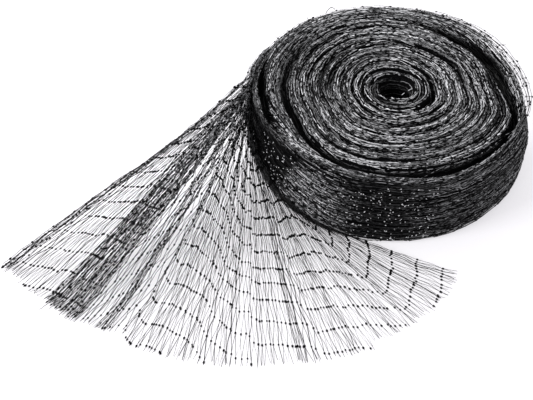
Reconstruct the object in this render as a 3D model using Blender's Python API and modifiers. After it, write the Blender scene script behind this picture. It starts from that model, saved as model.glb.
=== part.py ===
"""Bird netting roll lying on its end, with its loose end fanned out on the floor.

Metres, +Z up. The origin is on the floor under the middle of the whole thing.
The winding runs anticlockwise seen from above, and its last turn leaves the roll at the left (-X)
and opens towards the front (-Y).
"""
from math import acos, atan2, cos, degrees, exp, hypot, pi, radians, sin, tau

import bmesh
import bpy

COLLECTION_NAME = "bird_netting_roll"

# Roll
ROLL_RADIUS = 0.094
ROLL_HEIGHT = 0.063
ROLL_AXIS = (0.08217, 0.05197)
HOLE_RADIUS = 0.0115
HOLE_SHIFT = (0.0035, -0.0020)
RIM_ROUNDING = 0.0022
BAND_COUNT = 9
BAND_DEPTH = 0.0036
BAND_SWAY = 0.35
HOLE_DROOP = 0.0015
ROLL_STEPS = 84
WALL_LEVELS = (0.0, 0.08, 0.3, 0.5, 0.7, 0.88)
LOOSE_TURN_RINGS = 5
COIL_RINGS = 30

# Rim of the roll round its axis: angle in degrees, radius over ROLL_RADIUS, and how far it lies
# below ROLL_HEIGHT in metres
RIM = (
    dict(angle=0, radius=0.995, drop=0.0000),
    dict(angle=20, radius=0.985, drop=0.0000),
    dict(angle=45, radius=1.012, drop=0.0000),
    dict(angle=70, radius=1.000, drop=0.0000),
    dict(angle=120, radius=1.003, drop=0.0000),
    dict(angle=150, radius=0.994, drop=0.0000),
    dict(angle=175, radius=0.995, drop=0.0000),
    dict(angle=215, radius=0.992, drop=0.0000),
    dict(angle=250, radius=0.980, drop=0.0005),
    dict(angle=270, radius=0.995, drop=0.0020),
    dict(angle=290, radius=1.010, drop=0.0050),
    dict(angle=305, radius=1.000, drop=0.0045),
    dict(angle=325, radius=0.995, drop=0.0020),
    dict(angle=345, radius=1.015, drop=0.0000),
)

# Wall of the roll: its radius on the floor over ROLL_RADIUS, and its bulge at half height in metres
WALL = (
    dict(angle=0, base=1.005, bulge=0.0024),
    dict(angle=25, base=0.985, bulge=0.0015),
    dict(angle=60, base=0.972, bulge=0.0009),
    dict(angle=270, base=0.972, bulge=0.0009),
    dict(angle=300, base=0.976, bulge=0.0009),
    dict(angle=317, base=0.980, bulge=0.0012),
    dict(angle=329, base=0.997, bulge=0.0018),
    dict(angle=340, base=1.008, bulge=0.0022),
    dict(angle=350, base=1.010, bulge=0.0026),
)

# Groove between the tight coil and the loose outer turns: radius over ROLL_RADIUS, half width and
# depth in metres
GROOVE = (
    dict(angle=0, radius=0.838, width=0.0040, depth=0.0110),
    dict(angle=25, radius=0.849, width=0.0045, depth=0.0130),
    dict(angle=45, radius=0.820, width=0.0040, depth=0.0120),
    dict(angle=65, radius=0.835, width=0.0030, depth=0.0080),
    dict(angle=95, radius=0.862, width=0.0020, depth=0.0040),
    dict(angle=112, radius=0.862, width=0.0018, depth=0.0030),
    dict(angle=130, radius=0.825, width=0.0022, depth=0.0040),
    dict(angle=150, radius=0.800, width=0.0030, depth=0.0060),
    dict(angle=168, radius=0.780, width=0.0030, depth=0.0060),
    dict(angle=195, radius=0.780, width=0.0028, depth=0.0080),
    dict(angle=208, radius=0.785, width=0.0030, depth=0.0090),
    dict(angle=225, radius=0.865, width=0.0024, depth=0.0080),
    dict(angle=238, radius=0.912, width=0.0028, depth=0.0090),
    dict(angle=253, radius=0.943, width=0.0034, depth=0.0100),
    dict(angle=290, radius=0.955, width=0.0022, depth=0.0085),
    dict(angle=320, radius=0.962, width=0.0022, depth=0.0090),
    dict(angle=338, radius=0.945, width=0.0028, depth=0.0090),
    dict(angle=349, radius=0.885, width=0.0032, depth=0.0090),
)

# Tail
TAIL_THICKNESS = 0.0012
TAIL_CLEARANCE = 0.0007
START_ANGLE = 166
NECK_ANGLE = 180
MESH_BAR = 0.020
BAR_ROWS = 10
CUT_ROWS = 3
BAR_WIDTH = 0.0012
COLUMNS = 54
SAG_POWER = 1.05

# Rays of the fan, from the left border to the right one: direction in degrees, length to the cut
# edge, height at the neck and distance at which it reaches the floor, each over ROLL_RADIUS
FAN = (
    dict(angle=214.5, edge=2.126, height=0.655, landing=2.13),
    dict(angle=225.0, edge=2.08, height=0.630, landing=2.05),
    dict(angle=235.0, edge=2.05, height=0.590, landing=1.95),
    dict(angle=242.0, edge=2.00, height=0.540, landing=1.75),
    dict(angle=245.0, edge=1.97, height=0.520, landing=1.65),
    dict(angle=248.0, edge=2.09, height=0.500, landing=1.55),
    dict(angle=265.0, edge=2.11, height=0.420, landing=1.20),
    dict(angle=280.0, edge=2.09, height=0.340, landing=1.20),
    dict(angle=300.0, edge=2.04, height=0.220, landing=1.35),
    dict(angle=318.5, edge=1.92, height=0.090, landing=1.80),
)

# Pleats of the fan: direction and half width in degrees, height in metres, and the stretch of the
# ray over which the pleat stands, over ROLL_RADIUS
PLEATS = (
    dict(angle=215.0, width=2.2, height=0.0022, start=0.9, end=2.2),
    dict(angle=224.5, width=1.8, height=0.0030, start=0.5, end=2.3),
    dict(angle=228.5, width=1.8, height=0.0034, start=0.5, end=2.3),
    dict(angle=232.5, width=1.8, height=0.0030, start=0.5, end=2.3),
    dict(angle=242.0, width=1.6, height=0.0026, start=0.5, end=2.1),
    dict(angle=263.0, width=1.6, height=0.0024, start=0.3, end=1.3),
    dict(angle=277.0, width=1.6, height=0.0024, start=0.3, end=1.4),
    dict(angle=316.0, width=1.6, height=0.0018, start=1.3, end=2.0),
)


def blend_weight(fraction):
    """Ease a fraction from 0 to 1 with level ends."""
    return 0.5 - 0.5 * cos(pi * min(max(fraction, 0.0), 1.0))


def read_table(table, column, angle, closed):
    """Read one column of a table at an angle, eased between its rows."""
    rows = list(table)
    if closed:
        angle %= 360
        rows.append(dict(table[0], angle=table[0]["angle"] + 360))
    for before, after in zip(rows, rows[1:]):
        if angle <= after["angle"]:
            span = after["angle"] - before["angle"]
            weight = blend_weight((angle - before["angle"]) / span)
            return before[column] + (after[column] - before[column]) * weight
    return rows[-1][column]


def rim_radius(angle):
    """Radius of the roll at its rim, by the angle in degrees."""
    return ROLL_RADIUS * read_table(RIM, "radius", angle, closed=True)


def coil_height(share, angle):
    """Height of the tight coil: share 0 is the hole's rim, and share 1 the groove."""
    turns = share * BAND_COUNT - angle / 360
    sway = 1 - BAND_SWAY * sin(radians(3 * angle) + 5 * share)
    valley = (0.5 + 0.5 * cos(tau * turns)) ** 1.5 * BAND_DEPTH * sway
    droop = HOLE_DROOP * exp(-((share / 0.12) ** 2))
    return ROLL_HEIGHT - valley - droop


def roll_section(angle):
    """Closed section of the roll at one angle, as (radius, height) points.

    It starts on the floor outside, climbs the wall, crosses the top inwards and drops down the hole.
    """
    rim = rim_radius(angle)
    rim_height = ROLL_HEIGHT - read_table(RIM, "drop", angle, closed=True)
    groove = ROLL_RADIUS * read_table(GROOVE, "radius", angle, closed=True)
    depth = read_table(GROOVE, "depth", angle, closed=True)
    width = read_table(GROOVE, "width", angle, closed=True)
    base = ROLL_RADIUS * read_table(WALL, "base", angle, closed=True)
    bulge = read_table(WALL, "bulge", angle, closed=True)
    points = []
    for level in WALL_LEVELS:
        radius = base + (rim - base) * level + bulge * sin(pi * level)
        points.append((radius, level * rim_height))
    points.append((rim, rim_height - RIM_ROUNDING))
    crest = rim - RIM_ROUNDING
    for ring in range(LOOSE_TURN_RINGS):
        radius = crest + (groove - crest) * ring / LOOSE_TURN_RINGS
        dip = depth * exp(-(((radius - groove) / width) ** 2))
        points.append((radius, rim_height - dip))
    for ring in range(COIL_RINGS + 1):
        share = 1 - ring / COIL_RINGS
        radius = HOLE_RADIUS + (groove - HOLE_RADIUS) * share
        dip = depth * exp(-(((radius - groove) / width) ** 2))
        points.append((radius, coil_height(share, angle) - dip))
    points.append((HOLE_RADIUS, 0.0))
    return points


def hole_centred(radius, angle):
    """Plan place of a point of the roll, its inner turns drawn over to the hole's own centre."""
    pull = 1 - blend_weight((radius - HOLE_RADIUS) / (0.6 * ROLL_RADIUS))
    return (
        ROLL_AXIS[0] + radius * cos(radians(angle)) + pull * HOLE_SHIFT[0],
        ROLL_AXIS[1] + radius * sin(radians(angle)) + pull * HOLE_SHIFT[1],
    )


def make_roll():
    """A ring primitive whose sections are reshaped into the wound roll."""
    section_size = len(roll_section(0))
    bpy.ops.mesh.primitive_torus_add(
        major_segments=ROLL_STEPS,
        minor_segments=section_size,
        major_radius=ROLL_RADIUS / 2,
        minor_radius=ROLL_RADIUS / 4,
        location=(0, 0, 0),
    )
    roll = bpy.context.object
    roll.name = "net_roll"
    for step in range(ROLL_STEPS):
        angle = 360 * step / ROLL_STEPS
        for place, (radius, height) in enumerate(roll_section(angle)):
            x, y = hole_centred(radius, angle)
            roll.data.vertices[step * section_size + place].co = (x, y, height)
    roll.data.shade_smooth()
    return roll


def turn_point(radius, angle):
    """Plan place, from the roll's axis, at a radius and an angle in degrees."""
    return radius * cos(radians(angle)), radius * sin(radians(angle))


def ray_point(angle, share):
    """Place of the fan's underside at a share of one ray's length, from the roll's axis.

    The ray lies on the roll's wall up to the neck. From there it runs straight to the cut edge, or,
    where the roll would block it, hugs the wall until it can.
    """
    wall = ROLL_RADIUS + TAIL_CLEARANCE + TAIL_THICKNESS
    neck = turn_point(wall, NECK_ANGLE)
    reach = turn_point(ROLL_RADIUS * read_table(FAN, "edge", angle, closed=False), angle)
    end = (neck[0] + reach[0], neck[1] + reach[1])
    tangent = degrees(atan2(end[1], end[0]) - acos(wall / hypot(*end))) % 360
    leaves = max(NECK_ANGLE, tangent)
    lead = radians(NECK_ANGLE - START_ANGLE) * wall
    hug = radians(leaves - START_ANGLE) * wall
    start = turn_point(wall, leaves)
    straight = hypot(end[0] - start[0], end[1] - start[1])
    travel = share * (hug + straight)
    height = ray_height(angle, (travel - lead) / ROLL_RADIUS)
    if travel < hug:
        return *turn_point(wall, START_ANGLE + degrees(travel / wall)), height
    run = (travel - hug) / straight
    return start[0] + (end[0] - start[0]) * run, start[1] + (end[1] - start[1]) * run, height


def ray_height(angle, travel):
    """Height over the floor of the fan's underside, by the travel past the neck over ROLL_RADIUS."""
    landing = read_table(FAN, "landing", angle, closed=False)
    neck = ROLL_RADIUS * read_table(FAN, "height", angle, closed=False)
    height = neck * max(0.0, 1 - max(0.0, travel) / landing) ** SAG_POWER
    for pleat in PLEATS:
        across = abs(angle - pleat["angle"]) / pleat["width"]
        along = (travel - pleat["start"]) / (pleat["end"] - pleat["start"])
        if across < 1 and 0 < along < 1:
            height += pleat["height"] * (1 - blend_weight(across)) * sin(pi * along) ** 0.5
    return height


def on_side(face):
    """Tell whether a face of the blank lies on one of its two long side borders."""
    return any(edge.is_boundary and abs(edge.verts[0].co.x - edge.verts[1].co.x) < 1e-6
               for edge in face.edges)


def make_tail():
    """A diamond grid with its outer gaps cut, spread over the rays of the fan and thickened."""
    mesh = bpy.data.meshes.new("net_tail")
    tail = bpy.data.objects.new("net_tail", mesh)
    bpy.context.collection.objects.link(tail)
    length = BAR_ROWS * MESH_BAR
    first, last = FAN[0]["angle"], FAN[-1]["angle"]
    width = radians(last - first) * 0.8 * length
    blank = bmesh.new()
    bmesh.ops.create_grid(blank, x_segments=COLUMNS, y_segments=BAR_ROWS // 2, size=0.5)
    for vertex in blank.verts:
        vertex.co = ((vertex.co.x + 0.5) * width, (vertex.co.y + 0.5) * length, 0)
    straight_edges = [edge for edge in blank.edges if not edge.is_boundary]
    bmesh.ops.poke(blank, faces=blank.faces)
    bmesh.ops.dissolve_edges(blank, edges=straight_edges, use_verts=False)
    cut_from = length - (CUT_ROWS + 0.5) * MESH_BAR
    gaps = [
        face for face in blank.faces
        if face.calc_center_median().y > cut_from and not on_side(face)
    ]
    bmesh.ops.inset_individual(blank, faces=gaps, thickness=BAR_WIDTH / 2, use_even_offset=True)
    bmesh.ops.delete(blank, geom=gaps, context="FACES_ONLY")
    for vertex in blank.verts:
        angle = first + (last - first) * vertex.co.x / width
        x, y, height = ray_point(angle, vertex.co.y / length)
        vertex.co = (ROLL_AXIS[0] + x, ROLL_AXIS[1] + y, height)
    bmesh.ops.recalc_face_normals(blank, faces=blank.faces)
    blank.normal_update()
    if sum(face.normal.z for face in blank.faces) < 0:
        bmesh.ops.reverse_faces(blank, faces=blank.faces)
    blank.to_mesh(mesh)
    blank.free()
    shell = tail.modifiers.new("thickness", "SOLIDIFY")
    shell.thickness = TAIL_THICKNESS
    shell.offset = 1
    return tail


def net_material(name, colour, roughness):
    """Black polypropylene as the wound or the spread net shows it."""
    material = bpy.data.materials.new(name)
    material.use_nodes = True
    surface = material.node_tree.nodes["Principled BSDF"]
    surface.inputs["Base Color"].default_value = (*colour, 1)
    surface.inputs["Roughness"].default_value = roughness
    surface.inputs["Metallic"].default_value = 0.0
    return material


def main():
    """Build both pieces of the netting roll."""
    for item in list(bpy.data.objects):
        bpy.data.objects.remove(item, do_unlink=True)
    collection = bpy.data.collections.new(COLLECTION_NAME)
    bpy.context.scene.collection.children.link(collection)
    layer = bpy.context.view_layer.layer_collection.children[COLLECTION_NAME]
    bpy.context.view_layer.active_layer_collection = layer
    make_roll().data.materials.append(net_material("wound_net", (0.012, 0.012, 0.013), 0.45))
    make_tail().data.materials.append(net_material("spread_net", (0.016, 0.016, 0.018), 0.5))


main()
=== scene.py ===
"""Looks of the bird netting roll: a coreless roll of black net with its loose end fanned out.

The net is drawn strand by strand. Each strand is a thin tube along its own path, the knots are small
bodies on the paths, and a dark core, painted shade for the depth, stands behind the wound turns, where
no eye can tell strands apart. Pale streaks on the strands are painted highlights.
Lengths are metres in the part's own frame, angles are degrees anticlockwise from +X seen from above.
"""

import logging
from dataclasses import dataclass, field
from enum import Enum
from typing import TypeVar

import bpy
import numpy as np
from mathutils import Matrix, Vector


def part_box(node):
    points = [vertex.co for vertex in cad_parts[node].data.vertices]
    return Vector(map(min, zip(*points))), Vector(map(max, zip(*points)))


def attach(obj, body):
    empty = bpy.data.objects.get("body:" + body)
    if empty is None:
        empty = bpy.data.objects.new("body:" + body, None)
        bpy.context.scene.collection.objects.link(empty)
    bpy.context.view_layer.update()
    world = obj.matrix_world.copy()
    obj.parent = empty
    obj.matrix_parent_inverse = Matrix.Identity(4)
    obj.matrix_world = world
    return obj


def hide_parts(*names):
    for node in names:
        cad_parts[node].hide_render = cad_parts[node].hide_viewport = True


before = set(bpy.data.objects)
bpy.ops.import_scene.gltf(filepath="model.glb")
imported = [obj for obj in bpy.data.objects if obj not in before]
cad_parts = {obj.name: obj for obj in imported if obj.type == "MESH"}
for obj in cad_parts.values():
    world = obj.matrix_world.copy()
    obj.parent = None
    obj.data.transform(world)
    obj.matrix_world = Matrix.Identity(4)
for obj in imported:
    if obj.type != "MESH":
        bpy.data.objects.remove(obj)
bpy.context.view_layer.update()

LOG = logging.getLogger("bird_netting_roll")
ROOT_BODY = "root"
MM = 0.001
GOLDEN_ANGLE = 2.39996

Array = np.ndarray
Entry = TypeVar("Entry")
Span = tuple[float, float]


class Node(Enum):
    """The two solids of the part."""

    ROLL = "net_roll"
    TAIL = "net_tail"


class Slot(Enum):
    """The record's material slots."""

    WOUND = "wound_net"
    SPREAD = "spread_net"


def hex_to_linear(code: str) -> tuple[float, float, float, float]:
    """Turn an sRGB hex colour into a linear one.

    Args:
        code: six hex digits after a hash.

    Returns:
        Linear red, green, blue and an alpha of one.
    """
    shares = [int(code[place:place + 2], 16) / 255 for place in (1, 3, 5)]
    linear = [s / 12.92 if s <= 0.04045 else ((s + 0.055) / 1.055) ** 2.4 for s in shares]
    return linear[0], linear[1], linear[2], 1.0


def add_node(
    tree: bpy.types.NodeTree,
    kind: str,
    links: dict[str, bpy.types.NodeSocket] | None = None,
    values: dict[str, object] | None = None,
    **settings: object,
) -> bpy.types.Node:
    """Add a node with its settings, input values and links.

    Args:
        tree: the node tree that takes the node.
        kind: Blender's name for the node type.
        links: output sockets by the identifier of the input that they feed.
        values: plain values by the identifier of the input that they set.
        settings: attributes of the node itself.

    Returns:
        The new node.
    """
    node = tree.nodes.new(kind)
    for name, value in settings.items():
        setattr(node, name, value)
    inputs = {socket.identifier: socket for socket in node.inputs}
    for name, value in (values or {}).items():
        inputs[name].default_value = value
    for name, socket in (links or {}).items():
        tree.links.new(socket, inputs[name])
    return node


def output(node: bpy.types.Node, identifier: str) -> bpy.types.NodeSocket:
    """Find a node's output by its identifier."""
    return next(socket for socket in node.outputs if socket.identifier == identifier)


def start_material(name: str, values: dict[str, object]) -> tuple[bpy.types.Material, bpy.types.Node]:
    """Start a node material and set constants on its surface shader.

    Args:
        name: the material's name.
        values: constants by the shader input that they set.

    Returns:
        The material and its surface shader.
    """
    material = bpy.data.materials.new(name)
    material.use_nodes = True
    surface = material.node_tree.nodes["Principled BSDF"]
    for label, value in values.items():
        surface.inputs[label].default_value = value
    return material, surface


def add_object(name: str, data: bpy.types.ID) -> bpy.types.Object:
    """Put a new object in the scene.

    Args:
        name: its name.
        data: its mesh, light or camera.

    Returns:
        The object.
    """
    added = bpy.data.objects.new(name, data)
    bpy.context.scene.collection.objects.link(added)
    return added


@dataclass(frozen=True)
class StrandFinish:
    """Drawn polypropylene net strand, coloured through with carbon black.

    The drawn film is black and satin. Its short pale streaks are painted highlights, where the satin
    film would catch the lamps, some strands far more than others: the strand's tone says how much.
    """

    name: str
    black: str = "#070708"
    # Colour of the pale streaks, which are painted highlights
    painted_highlight: str = "#e6e6ea"
    roughness: float = 0.3
    specular: float = 0.05
    streak_mm: float = 3.0
    streak_from: float = 0.43
    streak_to: float = 0.55
    streak_shift: float = 40.0
    roughness_spread: float = 0.2
    ior: float = 1.49

    def material(self) -> bpy.types.Material:
        """Build the finish.

        Returns:
            The node material.
        """
        constants = {"IOR": self.ior, "Specular IOR Level": self.specular}
        material, surface = start_material(self.name, constants)
        tree = material.node_tree
        tone = add_node(tree, "ShaderNodeAttribute", attribute_name="tone")
        own = add_node(tree, "ShaderNodeAttribute", attribute_name="roll")
        apart = add_node(
            tree, "ShaderNodeMath", operation="MULTIPLY",
            links={"Value": own.outputs["Fac"]}, values={"Value_001": self.streak_shift},
        )
        place = add_node(tree, "ShaderNodeTexCoord")
        streaks = add_node(
            tree, "ShaderNodeTexNoise", noise_dimensions="4D",
            links={"Vector": place.outputs["Object"], "W": apart.outputs["Value"]},
            values={"Scale": 1 / (self.streak_mm * MM), "Detail": 1.0},
        )
        # Streak mask of the painted highlights
        painted_highlight = add_node(
            tree, "ShaderNodeMapRange", interpolation_type="SMOOTHSTEP",
            links={"Value": streaks.outputs["Fac"]},
            values={"From Min": self.streak_from, "From Max": self.streak_to},
        )
        share = add_node(
            tree, "ShaderNodeMath", operation="MULTIPLY",
            links={"Value": tone.outputs["Fac"], "Value_001": painted_highlight.outputs["Result"]},
        )
        tint = add_node(
            tree, "ShaderNodeMix", data_type="RGBA",
            links={"Factor_Float": share.outputs["Value"]},
            values={"A_Color": hex_to_linear(self.black), "B_Color": hex_to_linear(self.painted_highlight)},
        )
        tree.links.new(output(tint, "Result_Color"), surface.inputs["Base Color"])
        satin = add_node(
            tree, "ShaderNodeMath", operation="MULTIPLY_ADD",
            links={"Value": streaks.outputs["Fac"]},
            values={
                "Value_001": self.roughness_spread,
                "Value_002": self.roughness - 0.5 * self.roughness_spread,
            },
        )
        tree.links.new(satin.outputs["Value"], surface.inputs["Roughness"])
        return material


@dataclass(frozen=True)
class CoreFinish:
    """The depth of the wound net: hundreds of strands behind each other that let little light out.

    It shows as black, painted shade for the depth over the net's own black, with faint strand-wide
    streaks along the winding, read from the core's own UV map, whose U runs along the winding and V
    across it, both in metres.
    """

    name: str
    # Near-black: painted shade for the depth of the winding, over the net's own black
    colour: str = "#020203"
    strand_colour: str = "#0e0e10"
    roughness: float = 0.8
    specular: float = 0.05
    streak_length_mm: float = 12.0
    streak_width_mm: float = 0.7
    streak_from: float = 0.52
    streak_to: float = 0.75
    relief_mm: float = 0.5

    def material(self) -> bpy.types.Material:
        """Build the finish.

        Returns:
            The node material.
        """
        constants = {"Roughness": self.roughness, "Specular IOR Level": self.specular}
        material, surface = start_material(self.name, constants)
        tree = material.node_tree
        place = add_node(tree, "ShaderNodeUVMap", uv_map="winding")
        stretch = add_node(
            tree, "ShaderNodeMapping",
            links={"Vector": place.outputs["UV"]},
            values={"Scale": (1 / (self.streak_length_mm * MM), 1 / (self.streak_width_mm * MM), 1.0)},
        )
        streaks = add_node(
            tree, "ShaderNodeTexNoise",
            links={"Vector": stretch.outputs["Vector"]},
            values={"Scale": 1.0, "Detail": 3.0, "Roughness": 0.6},
        )
        tint = add_node(
            tree, "ShaderNodeMapRange",
            links={"Value": streaks.outputs["Fac"]},
            values={"From Min": self.streak_from, "From Max": self.streak_to},
        )
        colour = add_node(
            tree, "ShaderNodeMix", data_type="RGBA",
            links={"Factor_Float": tint.outputs["Result"]},
            values={
                "A_Color": hex_to_linear(self.colour),
                "B_Color": hex_to_linear(self.strand_colour),
            },
        )
        bump = add_node(
            tree, "ShaderNodeBump",
            links={"Height": streaks.outputs["Fac"]},
            values={"Strength": 1.0, "Distance": self.relief_mm * MM},
        )
        tree.links.new(output(colour, "Result_Color"), surface.inputs["Base Color"])
        tree.links.new(bump.outputs["Normal"], surface.inputs["Normal"])
        return material


@dataclass(frozen=True)
class StageFinish:
    """Opal acrylic light table: matt, very slightly cool, and lit from below so shadows stay pale."""

    name: str = "opal_light_table"
    colour: str = "#b4b3b6"
    glow_colour: str = "#fdfbff"
    roughness: float = 0.9
    specular: float = 0.1
    glow: float = 0.55

    def material(self) -> bpy.types.Material:
        """Build the finish.

        Returns:
            The node material.
        """
        constants = {
            "Base Color": hex_to_linear(self.colour),
            "Roughness": self.roughness,
            "Specular IOR Level": self.specular,
            "Emission Color": hex_to_linear(self.glow_colour),
            "Emission Strength": self.glow,
        }
        return start_material(self.name, constants)[0]


@dataclass
class StrandBundle:
    """The strands and knots of one piece, gathered as paths before they become tubes."""

    points: list[Array] = field(default_factory=list)
    girths: list[Array] = field(default_factory=list)
    tones: list[Array] = field(default_factory=list)
    rolls: list[Array] = field(default_factory=list)
    knot_points: list[Array] = field(default_factory=list)
    knot_runs: list[Array] = field(default_factory=list)
    knot_tones: list[Array] = field(default_factory=list)

    def add_path(self, points: Array, girth: Array, tone: float | Array) -> None:
        """Add one strand.

        Args:
            points: places along it, shaped (point, 3).
            girth: thickness over a plain strand's at each point.
            tone: how much painted highlight the strand gets, in all or at each point. Over 1, it is
                white
            also between its streaks.
        """
        self.points.append(points)
        self.girths.append(girth)
        self.tones.append(tone + np.zeros(len(points)))
        turn = len(self.points) * GOLDEN_ANGLE
        self.rolls.append(np.full(len(points), turn % (2 * np.pi)))

    def add_knots(self, points: Array, runs: Array, tone: float = 0.0) -> None:
        """Add knots at points, each lying along its own direction.

        Args:
            points: places, shaped (knot, 3).
            runs: directions, shaped (knot, 3).
            tone: how much painted highlight they get, from 0 to 1.
        """
        self.knot_points.append(points)
        self.knot_runs.append(runs)
        self.knot_tones.append(np.full(len(points), tone))

    def guide(self, name: str) -> bpy.types.Object:
        """Make a mesh of bare edges and points that the strand tree reads.

        Args:
            name: the object's name.

        Returns:
            The object, in the scene.
        """
        knots = np.concatenate(self.knot_points) if self.knot_points else np.zeros((0, 3))
        runs = np.concatenate(self.knot_runs) if self.knot_runs else np.zeros((0, 3))
        lengths = [len(path) for path in self.points]
        strand_points = np.concatenate(self.points)
        ends = np.cumsum(lengths)
        first = np.arange(len(strand_points) - 1)
        inner = first[~np.isin(first, ends - 1)]
        edges = np.stack([inner, inner + 1], axis=1)
        places = np.concatenate([strand_points, knots])
        mesh = bpy.data.meshes.new(name)
        mesh.from_pydata(places.tolist(), edges.tolist(), [])
        columns = {
            "girth": np.concatenate([*self.girths, np.ones(len(knots))]),
            "tone": np.concatenate([*self.tones, *self.knot_tones]),
            "roll": np.concatenate([*self.rolls, np.zeros(len(knots))]),
            "knot": np.concatenate([np.zeros(len(strand_points)), np.ones(len(knots))]),
        }
        for label, column in columns.items():
            mesh.attributes.new(label, "FLOAT", "POINT").data.foreach_set("value", column)
        run = np.concatenate([np.zeros_like(strand_points), runs])
        mesh.attributes.new("run", "FLOAT_VECTOR", "POINT").data.foreach_set("vector", run.ravel())
        return add_object(name, mesh)


@dataclass
class StrandTree:
    """Geometry Nodes tree that turns a bundle's guide into tubes and knots."""

    material: bpy.types.Material
    strand_radius: float = 0.17 * MM
    sides: int = 3
    knot_width: float = 1.5 * MM
    knot_length: float = 2.3 * MM
    knot_spread: Span = (0.8, 1.15)
    seed: int = 7

    def sizes(self) -> dict[str, float | int]:
        """Values of the tree's inputs by their names."""
        return {
            "Strand Radius": self.strand_radius,
            "Sides": self.sides,
            "Knot Width": self.knot_width,
            "Knot Length": self.knot_length,
            "Seed": self.seed,
        }

    def build(self) -> bpy.types.NodeTree:
        """Build the tree with named inputs.

        Returns:
            The node tree.
        """
        tree = bpy.data.node_groups.new(f"{self.material.name}_strands", "GeometryNodeTree")
        face = tree.interface
        face.new_socket("Geometry", in_out="INPUT", socket_type="NodeSocketGeometry")
        for label, value in self.sizes().items():
            kind = "NodeSocketInt" if isinstance(value, int) else "NodeSocketFloat"
            face.new_socket(label, in_out="INPUT", socket_type=kind)
        face.new_socket("Geometry", in_out="OUTPUT", socket_type="NodeSocketGeometry")
        sizes = add_node(tree, "NodeGroupInput").outputs
        tubes = self.tubes(tree, sizes)
        knots = self.knots(tree, sizes)
        joined = add_node(tree, "GeometryNodeJoinGeometry")
        tree.links.new(tubes, joined.inputs["Geometry"])
        tree.links.new(knots, joined.inputs["Geometry"])
        real = add_node(
            tree, "GeometryNodeRealizeInstances", links={"Geometry": joined.outputs["Geometry"]}
        )
        faceted = add_node(
            tree, "GeometryNodeSetShadeSmooth",
            links={"Geometry": real.outputs["Geometry"]},
            values={"Shade Smooth": False},
        )
        dressed = add_node(
            tree, "GeometryNodeSetMaterial",
            links={"Geometry": faceted.outputs["Geometry"]},
            values={"Material": self.material},
        )
        result = add_node(tree, "NodeGroupOutput")
        tree.links.new(dressed.outputs["Geometry"], result.inputs["Geometry"])
        return tree

    @staticmethod
    def attribute(tree: bpy.types.NodeTree, name: str, kind: str = "FLOAT") -> bpy.types.NodeSocket:
        """Read one of the guide's attributes by its name."""
        node_type = "GeometryNodeInputNamedAttribute"
        return add_node(tree, node_type, values={"Name": name}, data_type=kind).outputs["Attribute"]

    def tubes(
        self, tree: bpy.types.NodeTree, sizes: bpy.types.NodeOutputs
    ) -> bpy.types.NodeSocket:
        """Sweep a small ring along each path.

        Args:
            tree: the tree to add to.
            sizes: the tree's inputs.

        Returns:
            The tubes' geometry.
        """
        curves = add_node(tree, "GeometryNodeMeshToCurve", links={"Mesh": sizes["Geometry"]})
        ring = add_node(
            tree, "GeometryNodeCurvePrimitiveCircle",
            links={"Resolution": sizes["Sides"], "Radius": sizes["Strand Radius"]},
        )
        rolled = add_node(
            tree, "GeometryNodeSetCurveTilt",
            links={"Curve": curves.outputs["Curve"], "Tilt": self.attribute(tree, "roll")},
        )
        swept = add_node(
            tree, "GeometryNodeCurveToMesh",
            links={
                "Curve": rolled.outputs["Curve"],
                "Profile Curve": ring.outputs["Curve"],
                "Scale": self.attribute(tree, "girth"),
            },
            values={"Fill Caps": True},
        )
        return swept.outputs["Mesh"]

    def knots(
        self, tree: bpy.types.NodeTree, sizes: bpy.types.NodeOutputs
    ) -> bpy.types.NodeSocket:
        """Put a small long body on each knot point, turned along its strands.

        Args:
            tree: the tree to add to.
            sizes: the tree's inputs.

        Returns:
            The knots' instances.
        """
        body = add_node(
            tree, "GeometryNodeMeshIcoSphere", values={"Radius": 0.5, "Subdivisions": 1}
        )
        turned = add_node(
            tree, "FunctionNodeAlignRotationToVector", axis="Z",
            links={"Vector": self.attribute(tree, "run", "FLOAT_VECTOR")},
        )
        scale = add_node(
            tree, "ShaderNodeCombineXYZ",
            links={
                "X": sizes["Knot Width"], "Y": sizes["Knot Width"], "Z": sizes["Knot Length"],
            },
        )
        spread = add_node(
            tree, "FunctionNodeRandomValue", data_type="FLOAT",
            links={"Seed": sizes["Seed"]},
            values={"Min_001": self.knot_spread[0], "Max_001": self.knot_spread[1]},
        )
        sized = add_node(
            tree, "ShaderNodeVectorMath", operation="SCALE",
            links={"Vector": scale.outputs["Vector"], "Scale": spread.outputs[1]},
        )
        placed = add_node(
            tree, "GeometryNodeInstanceOnPoints",
            links={
                "Points": sizes["Geometry"],
                "Selection": self.attribute(tree, "knot"),
                "Instance": body.outputs["Mesh"],
                "Rotation": turned.outputs["Rotation"],
                "Scale": sized.outputs["Vector"],
            },
        )
        return placed.outputs["Instances"]

    def apply(self, piece: bpy.types.Object) -> None:
        """Run the tree on a guide and keep the result as the piece's own mesh.

        Args:
            piece: the guide object.
        """
        tree = self.build()
        modifier = piece.modifiers.new("strands", "NODES")
        modifier.node_group = tree
        values = self.sizes()
        for item in tree.interface.items_tree:
            if item.in_out == "INPUT" and item.name in values:
                modifier[item.identifier] = values[item.name]
        graph = bpy.context.evaluated_depsgraph_get()
        result = bpy.data.meshes.new_from_object(piece.evaluated_get(graph))
        guide = piece.data
        piece.modifiers.remove(modifier)
        piece.data = result
        bpy.data.meshes.remove(guide)


@dataclass(frozen=True)
class RimPoint:
    """The rim at one angle: its radius over the roll's, its drop below the top, and its open border.

    The drop and the width of the open border, where single strands stand off the dense turns, are in
    millimetres.
    """

    angle: float
    radius: float
    drop: float
    border: float


@dataclass(frozen=True)
class WallPoint:
    """The wall at one angle: its radius on the floor over the roll's, and its bulge in millimetres."""

    angle: float
    base: float
    bulge: float


@dataclass(frozen=True)
class GroovePoint:
    """Gap between turns: radius over the roll's, half width and depth in millimetres."""

    angle: float
    radius: float
    width: float
    depth: float


@dataclass(frozen=True)
class EdgePoint:
    """Reach of the spread net's cut edge from the neck at one angle, over the roll's radius."""

    angle: float
    reach: float


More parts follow.
